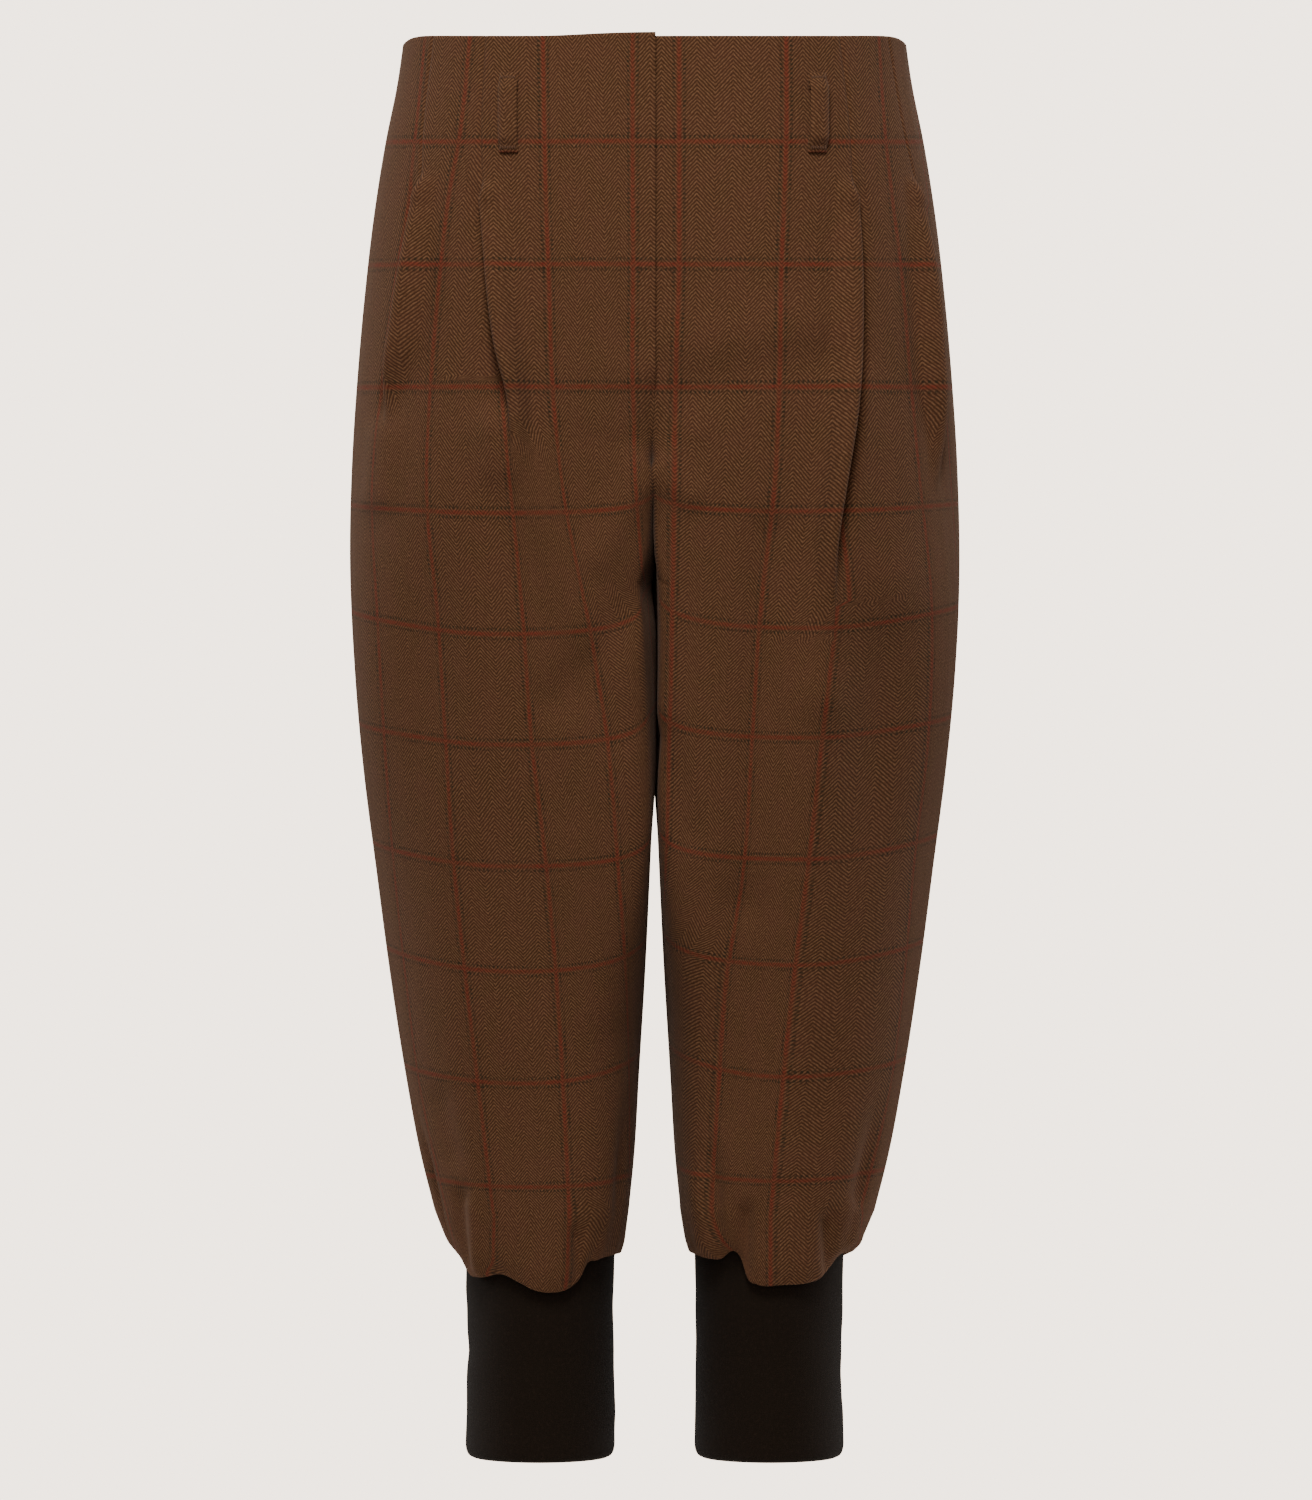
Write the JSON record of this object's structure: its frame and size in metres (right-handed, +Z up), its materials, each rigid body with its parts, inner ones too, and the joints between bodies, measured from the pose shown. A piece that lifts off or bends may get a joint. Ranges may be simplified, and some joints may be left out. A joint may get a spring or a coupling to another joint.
{
  "type": "tweed breeches with knitted cuffs",
  "caption": "High-waisted breeches with folded front pleats, ballooned legs and close knitted cuffs, hollow and filled out as worn.",
  "frame": {"origin": "centre of the waist, level with its rim at the side seams", "axes": "+Z up out of the waist, -Y the front, +X the wearer's left"},
  "size_m": [0.3535, 0.2378, 0.8291],
  "materials": {
    "tweed": "napped brown herringbone tweed with a red and dark green overcheck",
    "cuff_knit": "smooth matte black knit"
  },
  "bodies": {
    "root": {"front_right": "tweed", "front_left": "tweed", "back_right": "tweed", "back_left": "tweed", "cuff_right": "cuff_knit", "cuff_left": "cuff_knit", "loop_front_right": "tweed", "loop_front_left": "tweed", "loop_side_right": "tweed", "loop_side_left": "tweed", "loop_back": "tweed"}
  },
  "joints": []
}
